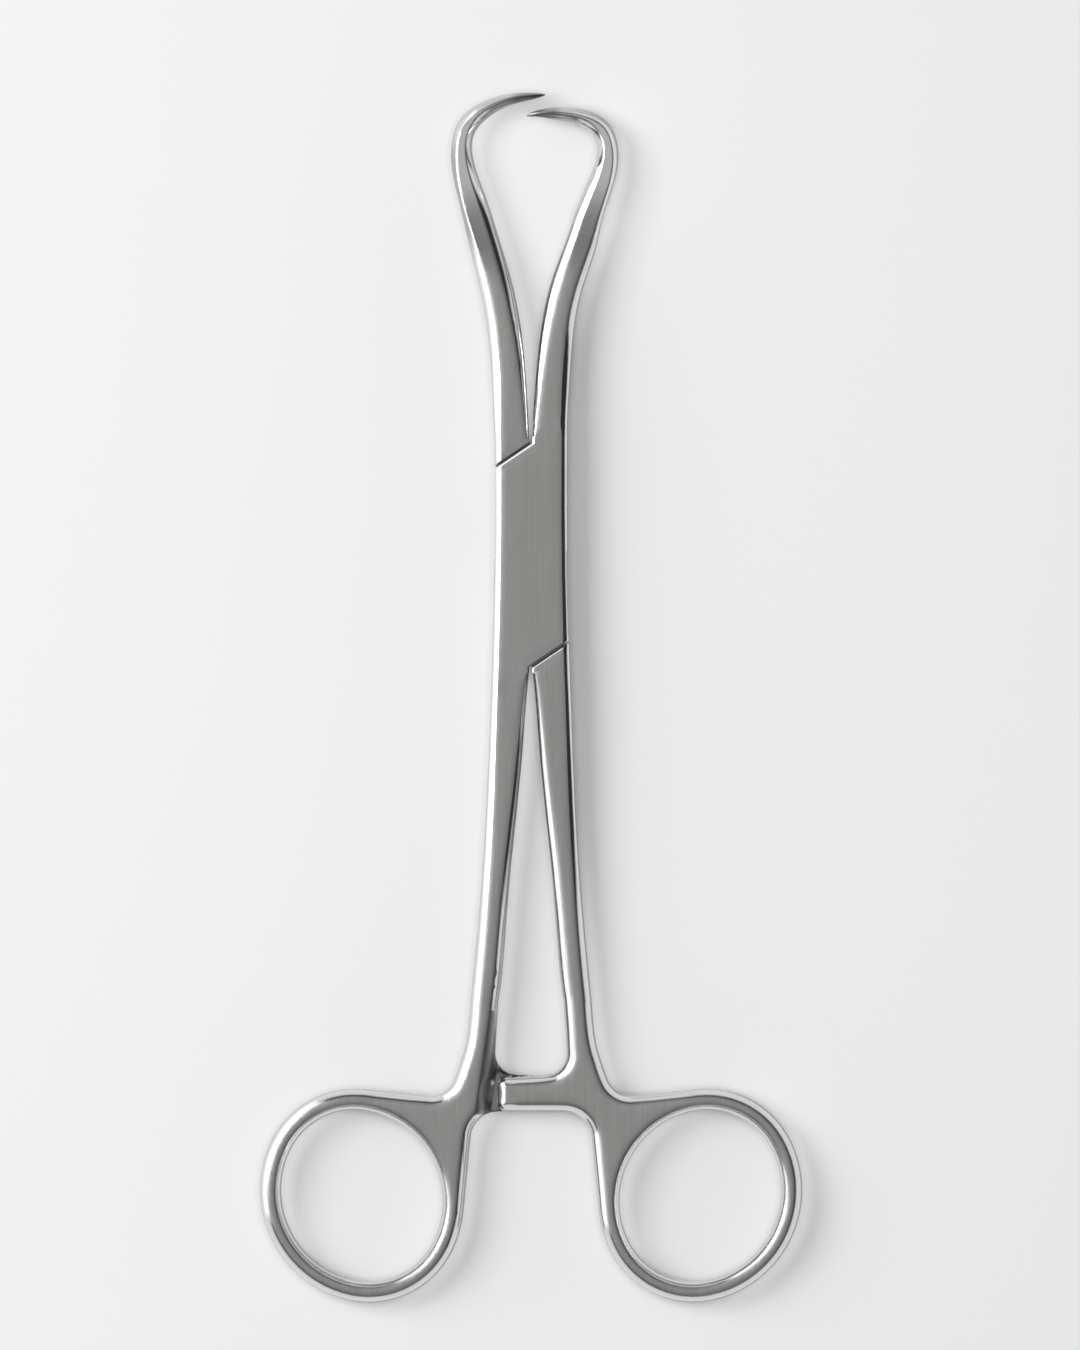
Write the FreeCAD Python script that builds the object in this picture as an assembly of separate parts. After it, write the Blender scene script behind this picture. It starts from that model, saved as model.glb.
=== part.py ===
"""Locking grasping forceps with a box lock, finger rings, a ratchet and two crossing needle hooks.

Millimetres. The pivot axis is Z through the origin, +Y points to the jaws, +X to the right as seen from
above, and the underside of the box lies at Z = 0. The instrument is closed and locked at its last tooth.

The box half carries the right jaw, the slotted box, the left shank and ring, and the lower ratchet arm.
The tang half carries the left jaw, the tang inside the box, the right shank and ring, and the upper arm.
The pivot pin is riveted through the box and ground flush, and the tang turns on it.
"""

import FreeCAD
import Part
import math
import os
from collections import namedtuple

# Driving dimensions

# Thickness across the flats
BOX_THICKNESS = 5.4
HANDLE_THICKNESS = 4.0

# Box lock, seen from above
BOX_END = 15.6  # from the pivot to where the jaws and the shanks leave the box
FRONT_WIDTH = 9.68  # across the box where the jaws leave it
MIDDLE_WIDTH = 9.7
REAR_WIDTH = 10.4  # where the shanks leave it
BOX_BAND = 0.86  # width of a rounded side as seen from above
CROTCH = 0.5  # slit between the two jaws, and between the two shanks, at the box
SEAM_REACH = 12.27  # from the pivot to the middle of either slanted seam, square to it
SEAM_ANGLE = 124.0  # direction of that distance, from +X
SEAM_GAP = 0.36
BOX_BEVEL = 0.26  # along the seams, on the box
SHOULDER_BEVEL = 0.14  # along the seams, on the tang half's shoulders

# Tang, slot and pin
TANG_THICKNESS = 1.8
TANG_WIDTH = 5.0
TANG_LEAN = 10.2  # from the long axis, towards the left jaw
TANG_PLAY = 0.05  # between the tang and each cheek
SIDE_PLAY = 0.12  # between the tang and the slot's walls, closed and fully open
OPENING_ANGLE = 50.0
PIN_DIAMETER = 2.4
PIN_HEAD_DIAMETER = 3.2
PIN_HEAD_DEPTH = 0.5
PIN_PLAY = 0.04  # running clearance of the tang's bore, on the radius

# Shank, from the box back: distance behind the box, outer edge and inner edge from the long axis,
# thickness, and the seen width of the outer and the inner rounded side
Shank = namedtuple("Shank", "behind outer inner thickness outer_band inner_band")
SHANK = [
    Shank(8.8, 5.52, 0.98, 4.95, 0.90, 0.75),
    Shank(16.7, 5.87, 1.70, 4.50, 0.98, 0.88),
    Shank(24.6, 6.34, 2.54, 4.20, 1.00, 0.95),
    Shank(32.5, 6.97, 3.22, 4.05, 1.00, 1.00),
]
SHANK_LENGTH = 43.1  # from the box to where the handle plate takes over
SHANK_CROTCH_BAND = 0.35  # inner rounded side where the shanks leave the box

# Handle plate behind the shank. Places are (from the long axis, from the end of the shank).
# The plate is drawn from a little ahead of that end, and trimmed there.
HANDLE_BAND = 1.08  # seen width of the rounded edge
PLATE_START = 5.0
PLATE_START_OUTER = 7.6  # from the long axis
PLATE_START_INNER = 3.94
PLATE_START_CORNER = 1.4
RING_CENTRE = (22.33, -25.8)
RING_BREADTH = 26.64  # outside, across the oval
RING_STRETCH = 2.14  # how much longer than broad
RING_END_TIGHTNESS = 1.02  # how much smaller than half the breadth the radius of the oval's ends is
RING_LEAN = 27.0  # of the oval's length, from the long axis, tops outwards
RING_WALL = 2.86
RING_HOLE_BAND = 0.84  # seen width of the rounded edge round the hole
OUTER_SWEEP_WAIST = (8.2, -1.75)  # where the sweep from shank to ring comes nearest to the long axis
OUTER_SWEEP_RADIUS = 19.1
OUTER_FILLET_RADIUS = 3.3  # of the tighter bend that ends the sweep at the ring
OUTER_FILLET_PLAY = 0.19  # short straight between them
OUTER_FILLET_TURN = 28.2  # from the waist to there, about the middle of the sweep
LOWER_FILLET_CENTRE = 4.32  # from the long axis
LOWER_FILLET_RADIUS = 3.65
UPPER_FILLET_RADIUS = 2.84
UPPER_FILLET_CENTRE = 1.86  # from the long axis

# Ratchet
ARM_TOP = -9.85  # from the end of the shank
ARM_WIDTH = 4.87
ARM_REACH = 4.5  # past the long axis
ARM_TAPER = 0.3  # narrower at its tip
ARM_CORNER = 1.2
ARM_PLAY = 0.1  # between the tips of facing teeth
RELIEF_TOP = (6.05, -5.3)  # two places on the crest of the slope that clears the other arm's tip
RELIEF_BOTTOM = (7.38, -14.6)
RELIEF_SLOPE = 45.0
TOOTH_COUNT = 5
TOOTH_PITCH = 1.4
TOOTH_DEPTH = 0.45
TOOTH_GAP = 0.06  # between the steep sides of facing teeth

# Jaws: (ahead of the box, out from the long axis) along the middle of each jaw, to the needle tip
LEFT_PATH = [
    (3.4, 2.70),
    (12.85, 3.37),
    (20.77, 4.82),
    (28.69, 6.96),
    (33.44, 8.38),
    (37.66, 9.17),
    (40.30, 8.78),
    (42.52, 7.06),
    (44.04, 4.44),
    (44.90, 0.90),
    (45.21, -1.90),
]
RIGHT_PATH = [
    (3.4, 2.60),
    (12.85, 3.33),
    (20.77, 4.95),
    (28.69, 7.48),
    (33.44, 9.19),
    (37.66, 10.14),
    (39.97, 9.61),
    (41.79, 7.66),
    (42.65, 4.20),
    (42.74, 1.48),
    (42.40, -0.57),
]
# Section of either jaw at those places
Jaw = namedtuple("Jaw", "width thickness outer_band inner_band")
JAW = [
    Jaw(4.62, 5.25, 1.05, 0.60),
    Jaw(4.50, 4.75, 1.10, 1.05),
    Jaw(4.34, 4.30, 0.95, 1.25),
    Jaw(3.85, 3.75, 0.60, 1.25),
    Jaw(3.38, 3.35, 0.55, 1.15),
    Jaw(2.84, 2.90, 0.75, 0.90),
    Jaw(2.68, 2.65, 0.85, 0.85),
    Jaw(2.40, 2.35, 1.00, 1.00),
    Jaw(1.85, 1.85, 0.84, 0.84),
    Jaw(1.15, 1.15, 0.52, 0.52),
    Jaw(0.12, 0.12, 0.05, 0.05),
]
JAW_CROTCH_BAND = 0.25  # inner rounded side where the jaws leave the box

# Values worked out from them

MIDDLE = BOX_THICKNESS / 2
REACH = BOX_END + SHANK_LENGTH  # further than any cut has to go
TOUCHING = 1e-5  # ends nearer than this are one place
BAR_SIDE_PIECES = 5  # faces one above the other in a rounded side of the box, a jaw or a shank
PLATE_SIDE_PIECES = 3  # and in one of the handle plate
LEFT = -1
RIGHT = 1
X = FreeCAD.Vector(1, 0, 0)
Y = FreeCAD.Vector(0, 1, 0)
Z = FreeCAD.Vector(0, 0, 1)


def polar(radius, degrees):
    angle = math.radians(degrees)
    return FreeCAD.Vector(radius * math.cos(angle), radius * math.sin(angle), 0)


def prism(points, low, high):
    """An upright prism over a polygon, from one height to another."""
    corners = [FreeCAD.Vector(p.x, p.y, low) for p in points]
    face = Part.Face(Part.makePolygon(corners + corners[:1]))
    return face.extrude(Z * (high - low))


def through(points):
    """An upright prism that passes through the whole instrument."""
    return prism(points, -REACH, REACH)


def stack(outlines):
    """A solid with flat faces through polygons that are copies of each other, shifted up and sideways."""
    faces = [Part.Face(Part.makePolygon(o + o[:1])) for o in (outlines[0], outlines[-1])]
    for low, high in zip(outlines[:-1], outlines[1:]):
        for i in range(len(low)):
            corners = [low[i - 1], low[i], high[i], high[i - 1]]
            faces.append(Part.Face(Part.makePolygon(corners + corners[:1])))
    return sewn(faces)


def sewn(faces):
    shell = Part.makeShell(faces)
    shell.sewShape()
    return Part.makeSolid(shell)


def joined(shapes):
    solid = shapes[0].multiFuse(shapes[1:]).removeSplitter()
    return solid.Solids[0] if len(solid.Solids) == 1 else solid


# Sections with flat faces and rounded sides


def rounded_side(at, thickness, band, pieces):
    """The edges of a rounded side from bottom to top, which together are one parabola.

    at(inset, height) gives a point that far in from the outermost line and that far above the middle.
    A side in several pieces is meshed with far fewer triangles than one in a single piece.
    """
    half = thickness / 2
    heights = [thickness * i / pieces - half for i in range(pieces + 1)]
    edges = []
    for low, high in zip(heights[:-1], heights[1:]):
        curve = Part.BezierCurve()
        curve.setPoles(
            [
                at(band * (low / half) ** 2, low),
                at(band * low * high / half**2, (low + high) / 2),
                at(band * (high / half) ** 2, high),
            ]
        )
        edges.append(curve.toShape())
    return edges


def section(centre, across, low, high, thickness, low_band, high_band):
    """A closed section through a centre: flat above and below, with a rounded side at each end.

    low and high are the two ends, measured from the centre along the unit vector across.
    """

    def high_at(inset, height):
        return centre + across * (high - inset) + Z * height

    def low_at(inset, height):
        return centre + across * (low + inset) - Z * height

    half = thickness / 2
    top = Part.LineSegment(high_at(high_band, half), low_at(low_band, -half)).toShape()
    bottom = Part.LineSegment(low_at(low_band, half), high_at(high_band, -half)).toShape()
    high_side = rounded_side(high_at, thickness, high_band, BAR_SIDE_PIECES)
    low_side = rounded_side(low_at, thickness, low_band, BAR_SIDE_PIECES)
    return Part.Wire([*high_side, top, *low_side, bottom])


def side_section(side, y, inner, outer, thickness, inner_band, outer_band):
    """A section square to the long axis, on the left or the right of it."""
    centre = FreeCAD.Vector(0, y, MIDDLE)
    return section(centre, X * side, inner, outer, thickness, inner_band, outer_band)


def loft(sections):
    return Part.makeLoft(list(sections), True)


# Box lock


def box_block():
    """The whole box before it is divided between the halves."""
    places = (
        (BOX_END, FRONT_WIDTH),
        (0, MIDDLE_WIDTH),
        (-BOX_END, REAR_WIDTH),
    )
    return loft(
        side_section(RIGHT, y, -width / 2, width / 2, BOX_THICKNESS, BOX_BAND, BOX_BAND)
        for y, width in places
    )


def crossing(first_angle, first_distance, second_angle, second_distance):
    """Where two lines cross, each given by its direction from the pivot and its distance, square to it."""
    first = polar(1, first_angle)
    second = polar(1, second_angle)
    spread = first.x * second.y - first.y * second.x
    return FreeCAD.Vector(
        (first_distance * second.y - second_distance * first.y) / spread,
        (second_distance * first.x - first_distance * second.x) / spread,
        0,
    )


def shoulder_corner(distance, edge, growth):
    """The region ahead of the upper seam and left of an edge beside the long axis, through the box.

    It grows sideways towards both faces of the box, which bevels the edges of what it is cut from.
    A negative growth bevels the edges of what it leaves.
    """
    bevel = abs(growth)
    levels = ((0, growth), (bevel, 0), (BOX_THICKNESS - bevel, 0), (BOX_THICKNESS, growth))
    outlines = []
    for height, grown in levels:
        corner = crossing(SEAM_ANGLE, distance - grown, 0, edge + grown) + Z * height
        outlines.append(
            [
                corner,
                corner + Y * REACH,
                corner + (Y - X) * REACH,
                corner - polar(REACH, SEAM_ANGLE - 90),
            ]
        )
    return stack(outlines)


def turned_end_for_end(shape):
    """A copy turned half a turn about the pivot, which brings the upper seam to the lower one."""
    copy = shape.copy()
    copy.rotate(FreeCAD.Vector(), Z, 180)
    return copy


def turned_over(shape):
    """A copy turned over about the long axis, which brings one handle to the other."""
    copy = shape.copy()
    copy.rotate(FreeCAD.Vector(0, 0, MIDDLE), Y, 180)
    return copy


def both_ends(shapes):
    return shapes + [turned_end_for_end(shape) for shape in shapes]


def slot():
    """The space that the tang sweeps from closed to fully open, with its side play."""
    reach = TANG_WIDTH / 2 + SIDE_PLAY
    closed = 180 + TANG_LEAN  # direction square to the tang's left side
    opened = closed + OPENING_ANGLE
    waist = crossing(closed, reach, opened, reach)
    outline = [
        waist,
        waist + polar(REACH, opened - 90),
        polar(REACH, closed - 90) - waist,
    ]
    outline += [p * -1 for p in outline]
    height = TANG_THICKNESS / 2 + TANG_PLAY
    return prism(outline, MIDDLE - height, MIDDLE + height)


def tang():
    """The thin middle of the tang half, from shoulder to shoulder and leaning towards the left jaw."""
    shoulder = SEAM_REACH + SEAM_GAP / 2
    outline = [
        crossing(SEAM_ANGLE, shoulder, side + TANG_LEAN, TANG_WIDTH / 2) for side in (0, 180)
    ]
    outline += [p * -1 for p in outline]
    half = TANG_THICKNESS / 2
    return prism(outline, MIDDLE - half, MIDDLE + half)


def pivot_pin():
    """A rivet with flared ends, flush with both faces of the box."""
    radius = PIN_DIAMETER / 2
    head = PIN_HEAD_DIAMETER / 2
    top = BOX_THICKNESS
    profile = [
        FreeCAD.Vector(0, 0, 0),
        FreeCAD.Vector(head, 0, 0),
        FreeCAD.Vector(radius, 0, PIN_HEAD_DEPTH),
        FreeCAD.Vector(radius, 0, top - PIN_HEAD_DEPTH),
        FreeCAD.Vector(head, 0, top),
        FreeCAD.Vector(0, 0, top),
    ]
    face = Part.Face(Part.makePolygon(profile + profile[:1]))
    return face.revolve(FreeCAD.Vector(), Z, 360).Solids[0]


# Jaws and shanks


def jaw(side, path):
    """A jaw from the box to its needle tip, with each section square to the middle line."""
    root = side_section(
        side, BOX_END, CROTCH / 2, FRONT_WIDTH / 2, BOX_THICKNESS, JAW_CROTCH_BAND, BOX_BAND
    )
    places = [FreeCAD.Vector(side * out, BOX_END + ahead, MIDDLE) for ahead, out in path]
    start = FreeCAD.Vector(side * (CROTCH + FRONT_WIDTH) / 4, BOX_END, MIDDLE)
    line = Part.BSplineCurve()
    line.interpolate(Points=[start] + places, InitialTangent=Y, FinalTangent=places[-1] - places[-2])
    sections = [root]
    for place, size in zip(places, JAW):
        heading = line.tangent(line.parameter(place))[0]
        across = heading.cross(Z) * side
        half = size.width / 2
        sections.append(
            section(place, across, -half, half, size.thickness, size.inner_band, size.outer_band)
        )
    return loft(sections)


def shank(side):
    """A shank from the box to the handle plate."""
    sections = [
        side_section(
            side, -BOX_END, CROTCH / 2, REAR_WIDTH / 2, BOX_THICKNESS, SHANK_CROTCH_BAND, BOX_BAND
        )
    ]
    for s in SHANK:
        y = -BOX_END - s.behind
        sections.append(
            side_section(side, y, s.inner, s.outer, s.thickness, s.inner_band, s.outer_band)
        )
    outer, outer_band = plate_side_at_shank(outermost=True)
    inner, inner_band = plate_side_at_shank(outermost=False)
    y = -BOX_END - SHANK_LENGTH
    sections.append(side_section(side, y, inner, outer, HANDLE_THICKNESS, inner_band, outer_band))
    return loft(sections)


# Outlines that run round circles, like a belt round pulleys


Pulley = namedtuple("Pulley", "centre radius")  # a negative radius is a hollow corner
Stroke = namedtuple("Stroke", "start end left centre turn")  # left is square to the outline at its start


def belt(pulleys, inset=0.0):
    """The strokes of a smooth closed outline, material on its left, round the pulleys in turn.

    A stroke without a centre is straight, and one with a centre turns about it. An inset moves the
    outline inwards.
    """
    radii = [p.radius - inset for p in pulleys]
    centres = [p.centre for p in pulleys]
    count = len(pulleys)
    legs = []
    for i in range(count):
        j = (i + 1) % count
        span = centres[j] - centres[i]
        share = (radii[j] - radii[i]) / span.Length
        heading = math.atan2(span.y, span.x) - math.asin(max(-1.0, min(1.0, share)))
        left = FreeCAD.Vector(-math.sin(heading), math.cos(heading), 0)
        legs.append((heading, left, centres[i] - left * radii[i], centres[j] - left * radii[j]))
    strokes = []
    for i in range(count):
        heading, left, start, end = legs[i]
        if (end - start).Length > TOUCHING:
            strokes.append(Stroke(start, end, left, None, 0.0))
        next_heading, next_left, next_start, next_end = legs[(i + 1) % count]
        turn = math.degrees(next_heading - heading) % 360
        if radii[(i + 1) % count] < 0:
            turn -= 360
        strokes.append(Stroke(end, next_start, left, centres[(i + 1) % count], turn))
    return strokes


def outline_face(strokes, height):
    """A flat face inside an outline."""
    lift = Z * height
    edges = []
    for stroke in strokes:
        if stroke.centre is None:
            edges.append(Part.LineSegment(stroke.start + lift, stroke.end + lift).toShape())
            continue
        arm = stroke.start - stroke.centre
        halfway = FreeCAD.Rotation(Z, stroke.turn / 2).multVec(arm) + stroke.centre
        edges.append(Part.Arc(stroke.start + lift, halfway + lift, stroke.end + lift).toShape())
    return Part.Face(Part.Wire(edges))


def rounded_plate(pulleys, band):
    """A plate as thick as the handle, with a rounded edge that looks as wide as the band from above."""
    half = HANDLE_THICKNESS / 2
    faces = []
    for stroke in belt(pulleys):

        def at(inset, height, stroke=stroke):
            return stroke.start + stroke.left * inset + Z * (MIDDLE + height)

        for edge in rounded_side(at, HANDLE_THICKNESS, band, PLATE_SIDE_PIECES):
            if stroke.centre is None:
                faces.append(edge.extrude(stroke.end - stroke.start))
            else:
                faces.append(edge.revolve(stroke.centre, Z, stroke.turn))
    for height in (MIDDLE - half, MIDDLE + half):
        faces.append(outline_face(belt(pulleys, band), height))
    return sewn(faces)


def ring_pulleys(offset=0.0):
    """The finger ring's oval as two end arcs and two side arcs, for the left ring, from its top end."""
    centre = FreeCAD.Vector(-RING_CENTRE[0], RING_CENTRE[1], 0)
    breadth = RING_BREADTH / 2
    length = breadth + RING_STRETCH / 2
    end = breadth - RING_END_TIGHTNESS
    side = ((length - end) ** 2 + breadth**2 - end**2) / (2 * (breadth - end))
    along = polar(length - end, 90 + RING_LEAN)
    aside = polar(side - breadth, RING_LEAN)
    return [
        Pulley(centre + along, end + offset),
        Pulley(centre + aside, side + offset),
        Pulley(centre - along, end + offset),
        Pulley(centre - aside, side + offset),
    ]


def handle_pulleys():
    """The left handle plate, from the shank's outer side round the ring and the arm to its inner side."""
    bottom = ARM_TOP - ARM_WIDTH
    tip = ARM_REACH - ARM_CORNER
    sweep = FreeCAD.Vector(*OUTER_SWEEP_WAIST, 0) + X * OUTER_SWEEP_RADIUS
    fillet_distance = OUTER_SWEEP_RADIUS - OUTER_FILLET_RADIUS + OUTER_FILLET_PLAY
    fillet = sweep - polar(fillet_distance, OUTER_FILLET_TURN)
    places = [
        (PLATE_START_OUTER - PLATE_START_CORNER, PLATE_START, PLATE_START_CORNER),
        (sweep.x, sweep.y, -OUTER_SWEEP_RADIUS),
        (fillet.x, fillet.y, -OUTER_FILLET_RADIUS),
        None,
        (LOWER_FILLET_CENTRE, bottom - LOWER_FILLET_RADIUS, -LOWER_FILLET_RADIUS),
        (-tip, bottom + ARM_CORNER, ARM_CORNER),
        (-tip, ARM_TOP - ARM_TAPER - ARM_CORNER, ARM_CORNER),
        (UPPER_FILLET_CENTRE, ARM_TOP + UPPER_FILLET_RADIUS, -UPPER_FILLET_RADIUS),
        (PLATE_START_INNER + PLATE_START_CORNER, PLATE_START, PLATE_START_CORNER),
    ]
    pulleys = []
    for place in places:
        if place is None:
            pulleys += ring_pulleys()
        else:
            pulleys.append(Pulley(FreeCAD.Vector(-place[0], place[1], 0), place[2]))
    return pulleys


def plate_side_at_shank(outermost):
    """Where a straight side of the handle plate crosses the end of the shank, and its seen width there."""
    strokes = belt(handle_pulleys())
    crossing_strokes = [s for s in strokes if min(s.start.y, s.end.y) < 0 < max(s.start.y, s.end.y)]
    stroke = crossing_strokes[0] if outermost else crossing_strokes[-1]
    run = stroke.end - stroke.start
    place = stroke.start - run * (stroke.start.y / run.y)
    return abs(place.x), HANDLE_BAND * run.Length / abs(run.y)


# Handle: ring, junction and ratchet arm


def relief():
    """What is cut from the upper half of the left handle, so that the other arm's tip comes in."""
    crest = FreeCAD.Vector(-RELIEF_TOP[0], RELIEF_TOP[1], MIDDLE + HANDLE_THICKNESS / 2)
    foot = FreeCAD.Vector(-RELIEF_BOTTOM[0], RELIEF_BOTTOM[1], crest.z)
    along = (foot - crest).normalize()
    floor = MIDDLE - ARM_PLAY / 2
    run = (crest.z - floor) / math.tan(math.radians(RELIEF_SLOPE))
    start = crest - along * HANDLE_THICKNESS
    profile = [
        start,
        start + X * run + Z * (floor - crest.z),
        start + X * REACH + Z * (floor - crest.z),
        start + X * REACH + Z * HANDLE_THICKNESS,
        start + Z * HANDLE_THICKNESS,
    ]
    face = Part.Face(Part.makePolygon(profile + profile[:1]))
    return face.extrude(along * REACH / 2)


def tooth_grooves():
    """Saw-tooth grooves across the top of the lower arm, steep on the side that holds."""
    top = MIDDLE - ARM_PLAY / 2
    start = ARM_TOP + ARM_CORNER
    grooves = []
    for i in range(TOOTH_COUNT):
        x = (i - (TOOTH_COUNT - 1) / 2) * TOOTH_PITCH + TOOTH_GAP / 2
        profile = [
            FreeCAD.Vector(x, start, top + TOOTH_DEPTH),
            FreeCAD.Vector(x, start, top - TOOTH_DEPTH),
            FreeCAD.Vector(x - TOOTH_PITCH, start, top),
            FreeCAD.Vector(x - TOOTH_PITCH, start, top + TOOTH_DEPTH),
        ]
        face = Part.Face(Part.makePolygon(profile + profile[:1]))
        grooves.append(face.extrude(Y * -(ARM_WIDTH + 2 * ARM_CORNER)))
    return grooves


def left_handle():
    """The left finger ring with its junction and the lower ratchet arm, in place behind the shank."""
    plate = rounded_plate(handle_pulleys(), HANDLE_BAND)
    beyond_shank_end = through([X * REACH, (X + Y) * REACH, (Y - X) * REACH, X * -REACH])
    plate = plate.cut([rounded_plate(ring_pulleys(-RING_WALL), -RING_HOLE_BAND), beyond_shank_end])
    plate = plate.cut([relief(), *tooth_grooves()])
    plate.translate(Y * -(BOX_END + SHANK_LENGTH))
    return plate.Solids[0]


# The two halves


def box_half():
    near_side = SEAM_REACH - SEAM_GAP / 2
    corners = both_ends([shoulder_corner(near_side, CROTCH / 2, BOX_BEVEL)])
    box = box_block().cut(corners)
    half = joined([box, jaw(RIGHT, RIGHT_PATH), shank(LEFT), left_handle()])
    return half.cut([slot(), pivot_pin()]).Solids[0]


def tang_half():
    far_side = SEAM_REACH + SEAM_GAP / 2
    corners = both_ends([shoulder_corner(far_side, -CROTCH / 2, -SHOULDER_BEVEL)])
    shoulders = [box_block().common(corner) for corner in corners]
    bore = Part.makeCylinder(PIN_DIAMETER / 2 + PIN_PLAY, BOX_THICKNESS)
    pieces = [*shoulders, tang(), jaw(LEFT, LEFT_PATH), shank(RIGHT), turned_over(left_handle())]
    return joined(pieces).cut(bore).Solids[0]


def main():
    os.makedirs("parts", exist_ok=True)
    pieces = {
        "box_half": box_half(),
        "tang_half": tang_half(),
        "pivot_pin": pivot_pin(),
    }
    for name, shape in pieces.items():
        shape.exportStep(f"parts/{name}.step")
        box = shape.BoundBox
        print(name, shape.isValid(), len(shape.Solids), len(shape.Faces), round(shape.Volume, 2))
        print("  from", [round(v, 2) for v in (box.XMin, box.YMin, box.ZMin)])
        print("  to", [round(v, 2) for v in (box.XMax, box.YMax, box.ZMax)])


main()
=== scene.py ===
# %% [markdown]
# # Locking grasping forceps in satin and polished steel
#
# The real instrument is forged from two bars of stainless steel. Its flats are brushed to a soft grey
# satin, so that they don't dazzle under a theatre lamp, and its rounded sides are left polished.
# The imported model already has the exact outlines, so the work here is the finish of the steel, and a
# studio whose soft box, ceiling and pale table the steel can reflect.

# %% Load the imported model
import math

import bpy
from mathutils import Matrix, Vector

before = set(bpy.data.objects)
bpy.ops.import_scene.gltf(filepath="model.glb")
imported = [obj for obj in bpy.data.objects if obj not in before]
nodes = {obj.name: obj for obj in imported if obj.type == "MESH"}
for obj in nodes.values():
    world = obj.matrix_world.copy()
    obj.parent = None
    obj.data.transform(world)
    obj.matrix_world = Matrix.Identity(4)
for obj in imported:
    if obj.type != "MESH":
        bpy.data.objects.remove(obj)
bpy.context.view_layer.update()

MM = 0.001

# %% [markdown]
# ## Helpers for shader nodes
#
# Node trees are easier to follow when each line of code makes one node with its settings and links.
# `add_node` does that for any node, and the helpers after it do it for the kinds used most: sums,
# vector operations, mixes and smooth steps. `new_group` opens a node group with named inputs and
# outputs, which several materials can share.

# %% Helpers that make nodes
# A Mix node has sockets for each kind of data. These are its first, second and result by number.
MIX_SOCKETS = {"FLOAT": (2, 3, 0), "VECTOR": (4, 5, 1), "RGBA": (6, 7, 2)}
NUMBER_RESULTS = ("DOT_PRODUCT", "LENGTH", "DISTANCE")


def add_node(tree, kind, inputs=None, **settings):
    """A node with its settings, and with inputs set to a value or linked to another node's output."""
    node = tree.nodes.new(kind)
    for name, value in settings.items():
        setattr(node, name, value)
    for name, value in (inputs or {}).items():
        if isinstance(value, bpy.types.NodeSocket):
            tree.links.new(value, node.inputs[name])
        else:
            node.inputs[name].default_value = value
    return node


def math_node(tree, operation, first, second=0.0):
    return add_node(tree, "ShaderNodeMath", {0: first, 1: second}, operation=operation).outputs[0]


def vector_node(tree, operation, first, second=(0.0, 0.0, 0.0)):
    """A vector operation. Dot products, lengths and distances put out a number."""
    second_input = "Scale" if operation == "SCALE" else 1
    inputs = {0: first, second_input: second}
    node = add_node(tree, "ShaderNodeVectorMath", inputs, operation=operation)
    return node.outputs["Value" if operation in NUMBER_RESULTS else "Vector"]


def mix_node(tree, kind, factor, first, second):
    """The first value where the factor is 0, and the second where it is 1."""
    first_input, second_input, result = MIX_SOCKETS[kind]
    inputs = {"Factor": factor, first_input: first, second_input: second}
    return add_node(tree, "ShaderNodeMix", inputs, data_type=kind).outputs[result]


def ramp_between(tree, value, low, high, start=0.0, end=1.0):
    """A smooth step of a value: start below low, end above high."""
    inputs = {"Value": value, "From Min": low, "From Max": high, "To Min": start, "To Max": end}
    node = add_node(tree, "ShaderNodeMapRange", inputs, interpolation_type="SMOOTHSTEP")
    return node.outputs["Result"]


def product(tree, factors):
    """All the factors multiplied together."""
    result, *others = factors
    for factor in others:
        result = math_node(tree, "MULTIPLY", result, factor)
    return result


def split(tree, vector):
    """The X, Y and Z of a vector."""
    return add_node(tree, "ShaderNodeSeparateXYZ", {0: vector}).outputs


def object_place(tree):
    """Where a point lies in the model's own frame, in metres."""
    return add_node(tree, "ShaderNodeTexCoord").outputs["Object"]


def new_group(name, inputs, outputs):
    """An empty node group with (name, type, default) inputs and (name, type) outputs."""
    group = bpy.data.node_groups.new(name, "ShaderNodeTree")
    for label, kind, default in inputs:
        socket = group.interface.new_socket(label, in_out="INPUT", socket_type=kind)
        socket.default_value = default
    for label, kind in outputs:
        group.interface.new_socket(label, in_out="OUTPUT", socket_type=kind)
    source = group.nodes.new("NodeGroupInput")
    target = group.nodes.new("NodeGroupOutput")
    return group, source.outputs, target.inputs


def use_group(tree, group, inputs=None):
    return add_node(tree, "ShaderNodeGroup", inputs, node_tree=group).outputs


FLOAT = "NodeSocketFloat"
VECTOR = "NodeSocketVector"
LEVEL = (1.0, 1.0, 0.0)  # times a vector, leaves its part in the board's plane
print("helpers for", sorted(MIX_SOCKETS), "mixes")
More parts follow.
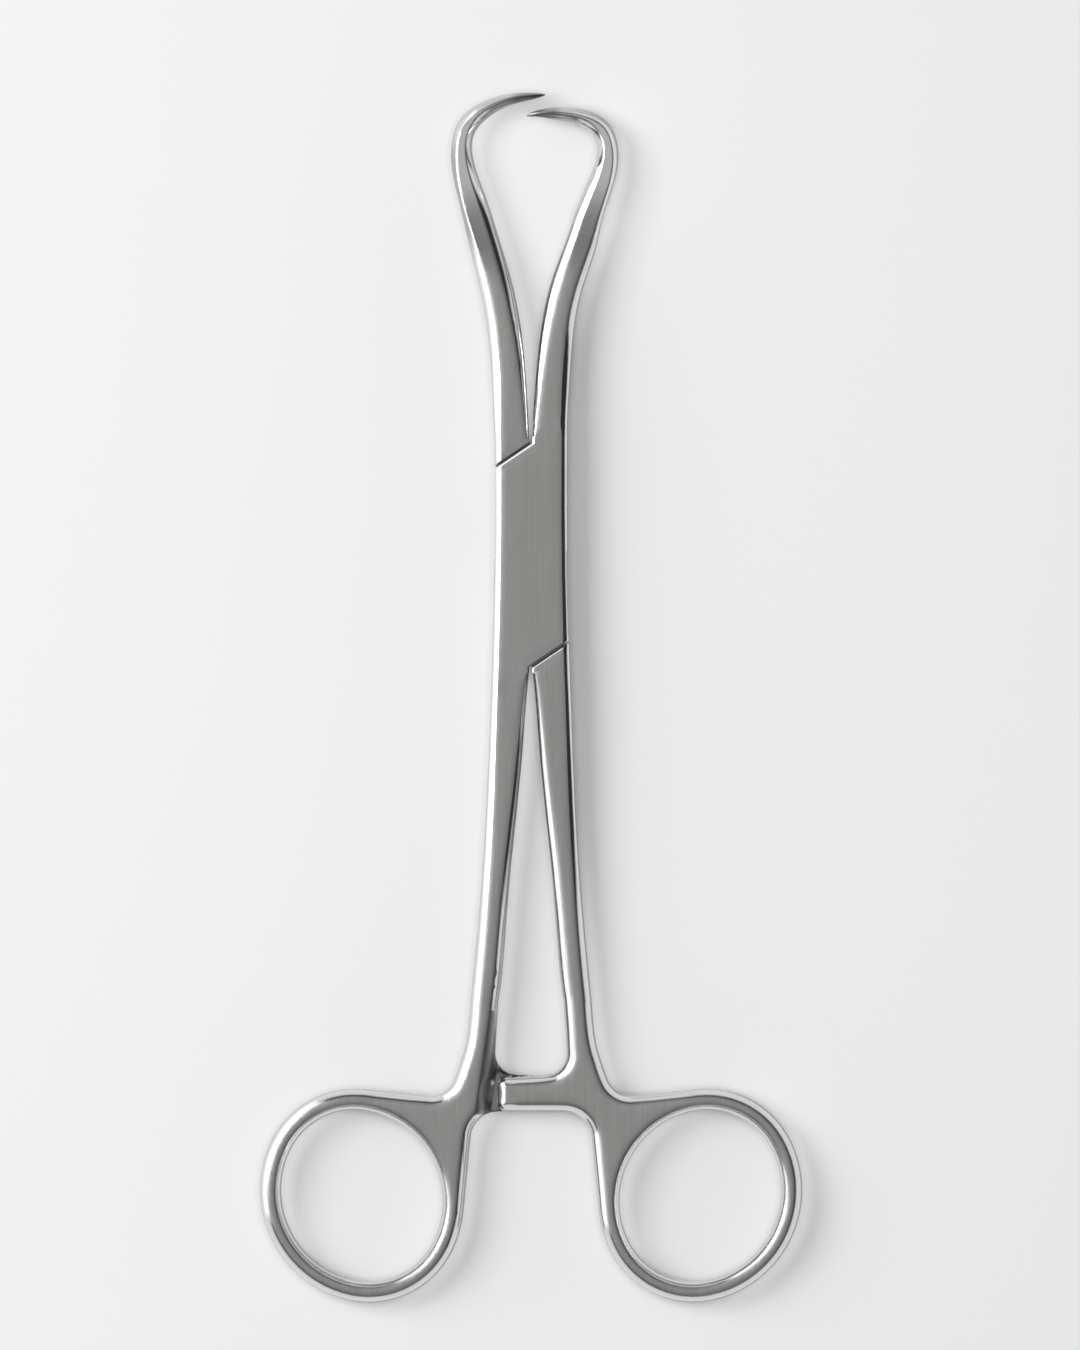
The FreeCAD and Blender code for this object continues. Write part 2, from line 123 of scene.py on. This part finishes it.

# %% [markdown]
# ## Which faces are satin and which are polished
#
# On the real forceps a belt touches only the flats and the slope beside the ratchet, and leaves them
# satin. Painting that by hand would need a map, but the shape itself says it: a flat faces straight up
# or down, and the slope faces one direction that nothing else does. The group compares the surface's
# own direction with both and gives a mask that is 1 on satin faces and 0 on the rounded sides. The
# hooks are too slender for the belt and are polished all round, so the mask fades out towards them.
# Where the belt runs out, the flats get a band of painted shade, for the darker room they reflect
# there.
# The needle points and the outer side of the left jaw below its hook get painted shade too, which tones
# down the bright reflections they show. One more mask gives all three.

# %% Group: satin mask
# Ramps are pairs: the values where the mask starts and where it ends. Y is in metres from the pivot.
FLAT_LEVEL = 0.93  # a face is flat when the upward part of its direction is more than this
FLAT_BLEND = 0.05
BELT_RUN_OUT = (0.036, 0.046)
SLOPE_MATCH = (0.9990, 0.9998)
# Painted shade lies in a band across the flats where the belt runs out, round the needle points, and on
# the outer side of the left jaw below its hook.
SHADE_BAND_RISE = (0.035, 0.042)
SHADE_BAND_FALL = (0.044, 0.050)
POINTS_CENTRE = (0.00065, 0.0594, 0.0)  # between the two needle points
POINTS_REACH = (2.2 * MM, 4.0 * MM)
POINTS_SHARE = 0.9
WAIST_FACING = (-0.3, -0.1)  # the X of a direction that faces left
WAIST_LEFT = (-3.0 * MM, -1.0 * MM)
WAIST_START = (0.038, 0.043)
WAIST_END = (0.052, 0.056)
WAIST_SHARE = 0.9


def make_satin_mask():
    group, given, out = new_group(
        "Satin mask",
        [("Upright", FLOAT, FLAT_LEVEL), ("Slope", VECTOR, (0.0, 0.0, 1.0))],
        [("Satin", FLOAT), ("Ground", FLOAT), ("Painted shade", FLOAT)],
    )
    facing = add_node(group, "ShaderNodeNewGeometry").outputs["True Normal"]
    turned = split(group, facing)
    position = object_place(group)
    place = split(group, position)
    ahead = place["Y"]

    full = math_node(group, "ADD", given["Upright"], FLAT_BLEND)
    flat = ramp_between(group, math_node(group, "ABSOLUTE", turned["Z"]), given["Upright"], full)
    belt = ramp_between(group, ahead, *BELT_RUN_OUT, 1.0, 0.0)
    match = vector_node(group, "DOT_PRODUCT", facing, given["Slope"])
    ground = ramp_between(group, match, *SLOPE_MATCH)
    brushed = math_node(group, "MULTIPLY", flat, belt)
    group.links.new(math_node(group, "MAXIMUM", brushed, ground), out["Satin"])
    group.links.new(ground, out["Ground"])

    # Painted shade: the band, the needle points and the left jaw's outer side are darkened.
    run_out_shade = product(
        group,
        (
            flat,
            ramp_between(group, ahead, *SHADE_BAND_RISE),
            ramp_between(group, ahead, *SHADE_BAND_FALL, 1.0, 0.0),
        ),
    )
    level_place = vector_node(group, "MULTIPLY", position, LEVEL)
    from_points = vector_node(group, "DISTANCE", level_place, POINTS_CENTRE)
    points = ramp_between(group, from_points, *POINTS_REACH, POINTS_SHARE, 0.0)
    waist = product(
        group,
        (
            ramp_between(group, turned["X"], *WAIST_FACING, WAIST_SHARE, 0.0),
            ramp_between(group, place["X"], *WAIST_LEFT, 1.0, 0.0),
            ramp_between(group, ahead, *WAIST_START),
            ramp_between(group, ahead, *WAIST_END, 1.0, 0.0),
        ),
    )
    painted_shade = math_node(group, "MAXIMUM", run_out_shade, points)
    group.links.new(math_node(group, "MAXIMUM", painted_shade, waist), out["Painted shade"])
    return group


satin_mask = make_satin_mask()
print("group:", satin_mask.name)

# %% [markdown]
# ## Brushed lines
#
# Brushing leaves fine scratches along the instrument, a tenth of a millimetre apart. Noise that is
# stretched a hundredfold along the length looks just like them. Two layers are used, because a belt
# leaves both hairlines and broader streaks where it pressed harder.

# %% Group: brushed lines
# Each layer: lines per metre across and along, and the detail of its noise.
HAIRLINES = (9000.0, 90.0, 3.0)
STREAKS = (1500.0, 25.0, 2.0)
NOISE_ROUGHNESS = 0.6
NOISE_MEAN = 0.5


def stretched_noise(group, position, layer, share):
    """Noise about zero with features 1/across metres wide and 1/along metres long."""
    across, along, detail = layer
    scaled = vector_node(group, "MULTIPLY", position, (across, along, across))
    inputs = {"Vector": scaled, "Scale": 1.0, "Detail": detail, "Roughness": NOISE_ROUGHNESS}
    noise = add_node(group, "ShaderNodeTexNoise", inputs).outputs["Fac"]
    return math_node(group, "MULTIPLY", math_node(group, "SUBTRACT", noise, NOISE_MEAN), share)


def make_brushed_lines():
    group, given, out = new_group(
        "Brushed lines",
        [("Hairlines", FLOAT, 0.6), ("Streaks", FLOAT, 0.4)],
        [("Lines", FLOAT)],
    )
    position = object_place(group)
    hairlines = stretched_noise(group, position, HAIRLINES, given["Hairlines"])
    streaks = stretched_noise(group, position, STREAKS, given["Streaks"])
    group.links.new(math_node(group, "ADD", hairlines, streaks), out["Lines"])
    return group


brushed_lines = make_brushed_lines()
print("group:", brushed_lines.name)

# %% [markdown]
# ## Softened edges
#
# No edge of a polished instrument is a true corner: polishing rounds it by a few tenths of a
# millimetre. A polished side is also rounder than its outline says, because its surface turns up to
# meet the flat, and that turn is what draws the white strip on the left and the dark line on the
# right. More triangles would do it too, but a normal is enough: the group takes one that turns smoothly
# over every edge, and then lifts it towards the vertical.
#
# The flats are slightly crowned, as the belt bends round the bar, so they take a share of a much wider
# turn. The lift is greatest at the box, whose sides are the steepest, and at the hooks, which are
# nearly round, it turns into a slight lowering. Round the pin there is no softening, because the rivet
# was ground flush with the box and can hardly be seen. Beside the two slanted seams and at the tip of
# the upper ratchet arm it is slight, so that the gap between the halves stays a crisp dark line, and
# the tip a thin white one.

# %% Group: rounded normals
EDGE_RADIUS = 0.80 * MM
CROWN_WIDTH = 2.2 * MM
EDGE_SAMPLES = 8
BOX_LIFT = 3.1
HANDLE_LIFT = 1.45
JAW_LIFT = 1.55
HOOK_LIFT = 0.85
SHANK_RAMP = (-0.055, -0.016)  # metres along the instrument, in the model's own frame
JAW_RAMP = (0.016, 0.034)
HOOK_RAMP = (0.040, 0.055)
HOOK_SHARE = 0.5
PIN_REACH = (1.9 * MM, 2.3 * MM)
SEAM_NORMAL_ANGLE = math.radians(124)
SEAM_DIRECTION = (math.cos(SEAM_NORMAL_ANGLE), math.sin(SEAM_NORMAL_ANGLE), 0.0)
SEAM_DISTANCE = 12.27 * MM
SEAM_REACH = (0.5 * MM, 1.1 * MM)
SEAM_SHARE = 0.3
ARM_TIP = (-0.0044, -0.0711, 0.0)
ARM_TIP_REACH = (2.2 * MM, 3.2 * MM)
ARM_TIP_SHARE = 0.27


def softening_share(group, position, ahead):
    """How much of the full softening a place takes."""
    level_place = vector_node(group, "MULTIPLY", position, LEVEL)
    from_tip = vector_node(group, "DISTANCE", level_place, ARM_TIP)
    from_pin = vector_node(group, "LENGTH", level_place)
    across_seams = vector_node(group, "DOT_PRODUCT", position, SEAM_DIRECTION)
    off_centre = math_node(group, "ABSOLUTE", across_seams)
    from_seam = math_node(group, "ABSOLUTE", math_node(group, "SUBTRACT", off_centre, SEAM_DISTANCE))
    return product(
        group,
        (
            ramp_between(group, from_tip, *ARM_TIP_REACH, ARM_TIP_SHARE, 1.0),
            ramp_between(group, from_pin, *PIN_REACH),
            ramp_between(group, from_seam, *SEAM_REACH, SEAM_SHARE, 1.0),
            ramp_between(group, ahead, *HOOK_RAMP, 1.0, HOOK_SHARE),
        ),
    )


def make_rounded_normals():
    group, given, out = new_group(
        "Rounded normals",
        [
            ("Radius", FLOAT, EDGE_RADIUS),
            ("Crown", FLOAT, 0.0),
            ("Box Lift", FLOAT, BOX_LIFT),
            ("Handle Lift", FLOAT, HANDLE_LIFT),
            ("Jaw Lift", FLOAT, JAW_LIFT),
            ("Hook Lift", FLOAT, HOOK_LIFT),
            ("Seen", FLOAT, 1.0),
        ],
        [("Normal", VECTOR)],
    )
    position = object_place(group)
    along = split(group, position)["Y"]
    share = softening_share(group, position, along)

    def softened(radius):
        reach = math_node(group, "MULTIPLY", share, radius)
        return add_node(
            group, "ShaderNodeBevel", {"Radius": reach}, samples=EDGE_SAMPLES
        ).outputs[0]

    edge = softened(given["Radius"])
    crown = softened(CROWN_WIDTH)
    turned = mix_node(group, "VECTOR", given["Crown"], edge, crown)

    behind = ramp_between(group, along, *SHANK_RAMP, given["Handle Lift"], given["Box Lift"])
    ahead = ramp_between(group, along, *JAW_RAMP, given["Box Lift"], given["Jaw Lift"])
    hook = ramp_between(group, along, *HOOK_RAMP, given["Jaw Lift"], given["Hook Lift"])
    before_hook = math_node(group, "MINIMUM", behind, ahead)
    on_hook = math_node(group, "GREATER_THAN", along, HOOK_RAMP[0])
    full_lift = mix_node(group, "FLOAT", on_hook, before_hook, hook)
    lift = mix_node(group, "FLOAT", given["Seen"], 1.0, full_lift)
    scale = add_node(group, "ShaderNodeCombineXYZ", {"X": 1.0, "Y": 1.0, "Z": lift}).outputs[0]
    lifted = vector_node(group, "MULTIPLY", turned, scale)
    group.links.new(vector_node(group, "NORMALIZE", lifted), out["Normal"])
    return group


rounded_normals = make_rounded_normals()
print("group:", rounded_normals.name)

# %% [markdown]
# ## Painted shade in crevices
#
# Light that gets into the slit between the halves hardly comes out again. An occlusion test over less
# than a millimetre finds such places, and the mask darkens their colour there as painted shade.

# %% Group: crevices
CREVICE_REACH = 0.6 * MM
CREVICE_RAMP = (0.15, 0.60)  # how open a place is: nearly black painted shade below the first, none above the second
CREVICE_FLOOR = 0.03
CREVICE_SAMPLES = 8


def make_crevices():
    group, given, out = new_group(
        "Crevices", [("Reach", FLOAT, CREVICE_REACH)], [("Open", FLOAT)]
    )
    inputs = {"Distance": given["Reach"]}
    occlusion = add_node(
        group, "ShaderNodeAmbientOcclusion", inputs, samples=CREVICE_SAMPLES
    ).outputs["AO"]
    # Painted shade: the colour is darkened where the occlusion test finds a slit.
    open_air = ramp_between(group, occlusion, *CREVICE_RAMP, CREVICE_FLOOR, 1.0)
    group.links.new(open_air, out["Open"])
    return group


crevices = make_crevices()
print("group:", crevices.name)

# %% [markdown]
# ## The steel
#
# Both finishes are one metal, so one material holds both, and the mask chooses between a polished and
# a satin roughness. The lines vary the colour, the roughness and a very shallow bump on the flats.
# Polished sides also throw light on the board. The photograph hardly shows it on the lamp's side, so
# those sides throw only a share. On the shadow side they throw it all, and a painted glow brightens the
# shadow close to the steel, most of all round the rings, between the halves and at the hooks, and not
# at all beside the box: the lower half of those bars, and the hooks, glow with an emission that only
# the board sees, in place of the light that the round bars gather. Neither uses the lift, and the
# camera sees neither.
#
# From above, a round side ends in a thin dark line, where it stands upright and mirrors its own
# shadow. A mask by height paints that reflected shadow into the colour as a dark rim, more strongly on
# the shadow side.

# %% Steel materials
POLISHED = (0.80, 0.80, 0.79, 1.0)
SATIN = (0.53, 0.53, 0.52)
POLISHED_ROUGHNESS = 0.07
SATIN_ROUGHNESS = 0.30
LINE_CONTRAST = 0.50
LINE_ROUGHNESS = 0.10
LINE_DEPTH = 0.004 * MM
GROUND_SLOPE = (0.7036, -0.1006, 0.7036)  # the way that the slope beside the lower ratchet arm faces
TURNED_OVER = (-GROUND_SLOPE[0], GROUND_SLOPE[1], -GROUND_SLOPE[2])
# The slope's colour gets a painted highlight: a lift that stands in for its brighter reflection.
GROUND_GAIN = 0.05  # how much paler the slope is than the flats
PAINTED_SHADE_DEPTH = 0.45
CROWN_SHARE = 0.8

KEY_AZIMUTH = math.radians(163)  # where the lamp stands, seen from above
AWAY_FROM_KEY = (-math.cos(KEY_AZIMUTH), -math.sin(KEY_AZIMUTH), 0.0)
SIDE_BLEND = (-0.1, 0.1)
THROWN_SHARE = 0.35  # of the light that the sides facing the lamp throw on the board

MIDDLE_HEIGHT = 2.7 * MM
RIM_HEIGHT = (0.70 * MM, 1.05 * MM)  # from the middle: full at the first, gone at the second
RIM_SIDES = (-0.3, 0.3)
RIM_SHADE = 0.58
RIM_LAMP_SHARE = 0.3  # on the lamp's side

BAR_GLEAM = 0.82
HOOK_GLEAM = 1.15
GLEAM_SIDES = (0.0, 0.8)
GLEAM_AT_RINGS = (-0.065, -0.030)  # full at the first, gone at the second
GLEAM_AT_HOOKS = (0.025, 0.045)  # gone at the first, full at the second
GLEAM_ON_LEFT = (-1.0 * MM, 1.0 * MM)


def painted_shade_factor(tree, finish, place, away):
    """How much of its colour the steel keeps under painted shade in crevices, on the bands and at the
    rim.
    """
    open_air = use_group(tree, crevices)["Open"]
    painted_shade = math_node(tree, "MULTIPLY", finish["Painted shade"], PAINTED_SHADE_DEPTH)
    # The rim is a painted reflection of shadow: a dark line painted into the colour by height.
    from_middle = math_node(tree, "SUBTRACT", place["Z"], MIDDLE_HEIGHT)
    off_middle = math_node(tree, "ABSOLUTE", from_middle)
    rim = math_node(
        tree,
        "MULTIPLY",
        ramp_between(tree, off_middle, *RIM_HEIGHT, RIM_SHADE, 0.0),
        ramp_between(tree, away, *RIM_SIDES, RIM_LAMP_SHARE, 1.0),
    )
    unshaded = math_node(tree, "SUBTRACT", 1.0, painted_shade)
    return product(tree, (open_air, unshaded, math_node(tree, "SUBTRACT", 1.0, rim)))


def painted_glow_level(tree, upward, place, away, lit_board):
    """Painted glow from the lower half of the bars that face away from the lamp, seen by the board
    alone.
    """
    at_rings = ramp_between(tree, place["Y"], *GLEAM_AT_RINGS, 1.0, 0.0)
    at_hooks = ramp_between(tree, place["Y"], *GLEAM_AT_HOOKS)
    left_bar = ramp_between(tree, place["X"], *GLEAM_ON_LEFT, 1.0, 0.0)
    gleaming = math_node(tree, "MAXIMUM", math_node(tree, "MAXIMUM", at_rings, at_hooks), left_bar)
    lower_half = ramp_between(tree, upward, *SIDE_BLEND, BAR_GLEAM, 0.0)
    hooks = math_node(tree, "MULTIPLY", at_hooks, HOOK_GLEAM)
    strongest = math_node(tree, "MAXIMUM", lower_half, hooks)
    facing_shadow = ramp_between(tree, away, *GLEAM_SIDES)
    return product(tree, (strongest, facing_shadow, gleaming, lit_board))


def make_steel(name, slope):
    material = bpy.data.materials.new(name)
    material.use_nodes = True
    tree = material.node_tree
    shader = tree.nodes["Principled BSDF"]
    shader.inputs["Metallic"].default_value = 1.0
    finish = use_group(tree, satin_mask, {"Slope": slope})
    satin = finish["Satin"]
    lines = use_group(tree, brushed_lines)["Lines"]
    facing = add_node(tree, "ShaderNodeNewGeometry").outputs["True Normal"]
    away = vector_node(tree, "DOT_PRODUCT", facing, AWAY_FROM_KEY)
    place = split(tree, object_place(tree))
    lit_board = add_node(tree, "ShaderNodeLightPath").outputs["Is Diffuse Ray"]

    streaked = math_node(tree, "ADD", math_node(tree, "MULTIPLY", lines, LINE_CONTRAST), 1.0)
    # Painted highlight: the slope's colour is made a little lighter than the flats'.
    paler = math_node(tree, "MULTIPLY", finish["Ground"], GROUND_GAIN)
    brushed = vector_node(tree, "SCALE", SATIN, math_node(tree, "ADD", streaked, paler))
    colour = mix_node(tree, "RGBA", satin, POLISHED, brushed)
    shadow_side = ramp_between(tree, away, *SIDE_BLEND)
    thrown = ramp_between(tree, shadow_side, 0.0, 1.0, THROWN_SHARE, 1.0)
    kept = ramp_between(tree, lit_board, 0.0, 1.0, 1.0, thrown)
    # Painted shade: crevices, the shaded bands and the rim darken the colour.
    shade_factor = painted_shade_factor(tree, finish, place, away)
    darkened = vector_node(tree, "SCALE", colour, math_node(tree, "MULTIPLY", shade_factor, kept))
    tree.links.new(darkened, shader.inputs["Base Color"])

    # Painted glow: an emission on the steel, seen only by the board, lights the shadow next to the
    # bars.
    painted_glow = painted_glow_level(tree, split(tree, facing)["Z"], place, away, lit_board)
    tree.links.new(painted_glow, shader.inputs["Emission Color"])
    shader.inputs["Emission Strength"].default_value = 1.0
    material.cycles.emission_sampling = "NONE"

    line_roughness = math_node(tree, "MULTIPLY", lines, LINE_ROUGHNESS)
    brushed_roughness = math_node(tree, "ADD", line_roughness, SATIN_ROUGHNESS)
    roughness = mix_node(tree, "FLOAT", satin, POLISHED_ROUGHNESS, brushed_roughness)
    tree.links.new(roughness, shader.inputs["Roughness"])

    crown = math_node(tree, "MULTIPLY", satin, CROWN_SHARE)
    seen = math_node(tree, "SUBTRACT", 1.0, lit_board)
    rounded = use_group(tree, rounded_normals, {"Crown": crown, "Seen": seen})["Normal"]
    relief = math_node(tree, "MULTIPLY", lines, satin)
    inputs = {"Height": relief, "Distance": LINE_DEPTH, "Strength": 1.0, "Normal": rounded}
    bump = add_node(tree, "ShaderNodeBump", inputs)
    tree.links.new(bump.outputs["Normal"], shader.inputs["Normal"])
    return material


for node_name, label, slope in (
    ("box_half", "Box half steel", GROUND_SLOPE),
    ("tang_half", "Tang half steel", TURNED_OVER),
    ("pivot_pin", "Pin steel", GROUND_SLOPE),
):
    mesh = nodes[node_name].data
    mesh.materials.clear()
    mesh.materials.append(make_steel(label, slope))
    print(label, "on", node_name)

# %% [markdown]
# ## The table
#
# The photograph was taken on seamless white board. A large matt plane just under the instrument gives
# the same ground, and it also is what the lower half of each polished side reflects.

# %% Table
TABLE_SIZE = 4.0
TABLE_COLOUR = (0.90, 0.90, 0.90, 1.0)
TABLE_ROUGHNESS = 0.9
TABLE_DROP = 0.02 * MM


def make_table():
    corner = TABLE_SIZE / 2
    mesh = bpy.data.meshes.new("table")
    z = -TABLE_DROP
    mesh.from_pydata(
        [(-corner, -corner, z), (corner, -corner, z), (corner, corner, z), (-corner, corner, z)],
        [],
        [(0, 1, 2, 3)],
    )
    table = bpy.data.objects.new("table", mesh)
    bpy.context.scene.collection.objects.link(table)
    material = bpy.data.materials.new("White board")
    material.use_nodes = True
    shader = material.node_tree.nodes["Principled BSDF"]
    shader.inputs["Base Color"].default_value = TABLE_COLOUR
    shader.inputs["Roughness"].default_value = TABLE_ROUGHNESS
    shader.inputs["Specular IOR Level"].default_value = 0.0
    mesh.materials.append(material)


make_table()
print("table:", TABLE_SIZE, "m")

# %% [markdown]
# ## The studio around the instrument
#
# Polished steel has no look of its own, it shows the room. A side that turns up to its flat reflects
# first the table, then the horizon, then the room from the ground up. So the room has a white horizon,
# where the board curves up, which gives each side its thin light strip. Above it the room is dark,
# most of all on the right, which gives the dark line next to the flats. A tall white reflector on the
# left turns that line white on all left sides. The flats see the grey ceiling, which is brighter
# beyond the jaws. What the camera sees beyond the table stays plain and pale.

# %% World
# Ramps by height run from 0 at the horizon to 1 overhead, and ramps by bearing or glow from 0 at a
# right angle to 1 straight towards it.
REFLECTOR_AZIMUTH = math.radians(157)
REFLECTOR_SPREAD = (0.66, 0.82)
REFLECTOR_TOP = (0.80, 0.90)
REFLECTOR_LEVEL = 1.3
CEILING_EDGE = (0.82, 0.94)
CEILING_LEVEL = 0.42
GLOW_DIRECTION = (0.0, 0.42, 0.907)
GLOW_SPREAD = (0.88, 0.99)
GLOW_LEVEL = 0.12
HORIZON_TOP = (0.20, 0.36)
HORIZON_LEVEL = 0.78
DARK_AZIMUTH = math.radians(25)
DARK_SPREAD = (0.1, 0.75)
DARK_LEVEL = 0.03
DIM_LEVEL = 0.11  # behind
BACKGROUND_LEVEL = 0.9


def closeness(tree, bearing, azimuth):
    """1 where a level direction points to an azimuth, 0 at right angles to it."""
    return vector_node(tree, "DOT_PRODUCT", bearing, (math.cos(azimuth), math.sin(azimuth), 0.0))


def make_world():
    world = bpy.data.worlds.new("Studio")
    world.use_nodes = True
    bpy.context.scene.world = world
    tree = world.node_tree
    tree.nodes.clear()
    direction = add_node(tree, "ShaderNodeTexCoord").outputs["Generated"]
    height = split(tree, direction)["Z"]
    bearing = vector_node(tree, "NORMALIZE", vector_node(tree, "MULTIPLY", direction, LEVEL))
    facing_left = closeness(tree, bearing, REFLECTOR_AZIMUTH)
    facing_dark = closeness(tree, bearing, DARK_AZIMUTH)
    toward_glow = vector_node(tree, "DOT_PRODUCT", direction, GLOW_DIRECTION)

    reflector = math_node(
        tree,
        "MULTIPLY",
        ramp_between(tree, facing_left, *REFLECTOR_SPREAD),
        ramp_between(tree, height, *REFLECTOR_TOP, REFLECTOR_LEVEL, 0.0),
    )
    dim = ramp_between(tree, facing_dark, *DARK_SPREAD, DIM_LEVEL, DARK_LEVEL)
    ceiling = math_node(
        tree,
        "ADD",
        ramp_between(tree, height, *CEILING_EDGE, dim, CEILING_LEVEL),
        ramp_between(tree, toward_glow, *GLOW_SPREAD, 0.0, GLOW_LEVEL),
    )
    horizon = ramp_between(tree, height, *HORIZON_TOP, HORIZON_LEVEL, 0.0)
    room = math_node(tree, "MAXIMUM", math_node(tree, "MAXIMUM", ceiling, reflector), horizon)
    camera_ray = add_node(tree, "ShaderNodeLightPath").outputs["Is Camera Ray"]
    level = mix_node(tree, "FLOAT", camera_ray, room, BACKGROUND_LEVEL)
    background = add_node(tree, "ShaderNodeBackground", {"Strength": level, "Color": (1, 1, 1, 1)})
    output = add_node(tree, "ShaderNodeOutputWorld")
    tree.links.new(background.outputs[0], output.inputs["Surface"])


make_world()
print("world: ceiling", CEILING_LEVEL, "reflector", REFLECTOR_LEVEL, "horizon", HORIZON_LEVEL)

# %% [markdown]
# ## Two soft lamps
#
# The shadows fall to the right and a little down, and fade over about a centimetre. So the key is a
# soft box on the left, a little towards the jaws, halfway up to overhead. The narrow gaps between the
# shanks and between the jaws are still pale in the photograph, so something broad lights them from
# above. The steel must not show that second lamp as a white patch, as its flats are grey, so it is
# hidden from reflections.

# %% Lamps
AIM = Vector((0.001, -0.018, 0.002))
KEY_ELEVATION = math.radians(43)
KEY_DISTANCE = 0.9
KEY_SIZE = 0.46
KEY_POWER = 3.85
OVERHEAD_HEIGHT = 1.0
OVERHEAD_SIZE = 0.5
OVERHEAD_POWER = 2.65


def make_lamp(name, toward, distance, size, power):
    """A square soft box at a distance from the instrument, facing it."""
    lamp = bpy.data.lights.new(name, "AREA")
    lamp.shape = "SQUARE"
    lamp.size = size
    lamp.energy = power
    soft_box = bpy.data.objects.new(name, lamp)
    bpy.context.scene.collection.objects.link(soft_box)
    soft_box.location = AIM + toward * distance
    soft_box.rotation_euler = toward.to_track_quat("Z", "Y").to_euler()
    return soft_box


to_key = Vector(
    (
        math.cos(KEY_ELEVATION) * math.cos(KEY_AZIMUTH),
        math.cos(KEY_ELEVATION) * math.sin(KEY_AZIMUTH),
        math.sin(KEY_ELEVATION),
    )
)
straight_up = Vector((0, 0, 1))
make_lamp("key", to_key, KEY_DISTANCE, KEY_SIZE, KEY_POWER)
overhead = make_lamp("overhead", straight_up, OVERHEAD_HEIGHT, OVERHEAD_SIZE, OVERHEAD_POWER)
overhead.visible_glossy = False
print("key:", KEY_POWER, "W, overhead:", OVERHEAD_POWER, "W")

# %% [markdown]
# ## Camera
#
# The photograph looks straight down with the jaws at the top, from far enough that the flats hardly
# shift against the outlines. A long lens more than a metre up gives that view.

# %% Camera
VIEW_CENTRE = Vector((0.00119, -0.0158))
VIEW_HEIGHT = 0.1782
CAMERA_DISTANCE = 1.2
SENSOR = 36.0
CLIP_END = 20.0


def make_camera():
    lens = bpy.data.cameras.new("camera")
    lens.sensor_fit = "VERTICAL"
    lens.sensor_height = SENSOR
    lens.lens = SENSOR * CAMERA_DISTANCE / VIEW_HEIGHT
    lens.clip_end = CLIP_END
    camera = bpy.data.objects.new("camera", lens)
    bpy.context.scene.collection.objects.link(camera)
    camera.location = (VIEW_CENTRE.x, VIEW_CENTRE.y, MIDDLE_HEIGHT + CAMERA_DISTANCE)
    bpy.context.scene.camera = camera


make_camera()
bpy.context.scene.view_settings.view_transform = "Standard"
print("camera:", CAMERA_DISTANCE, "m up")
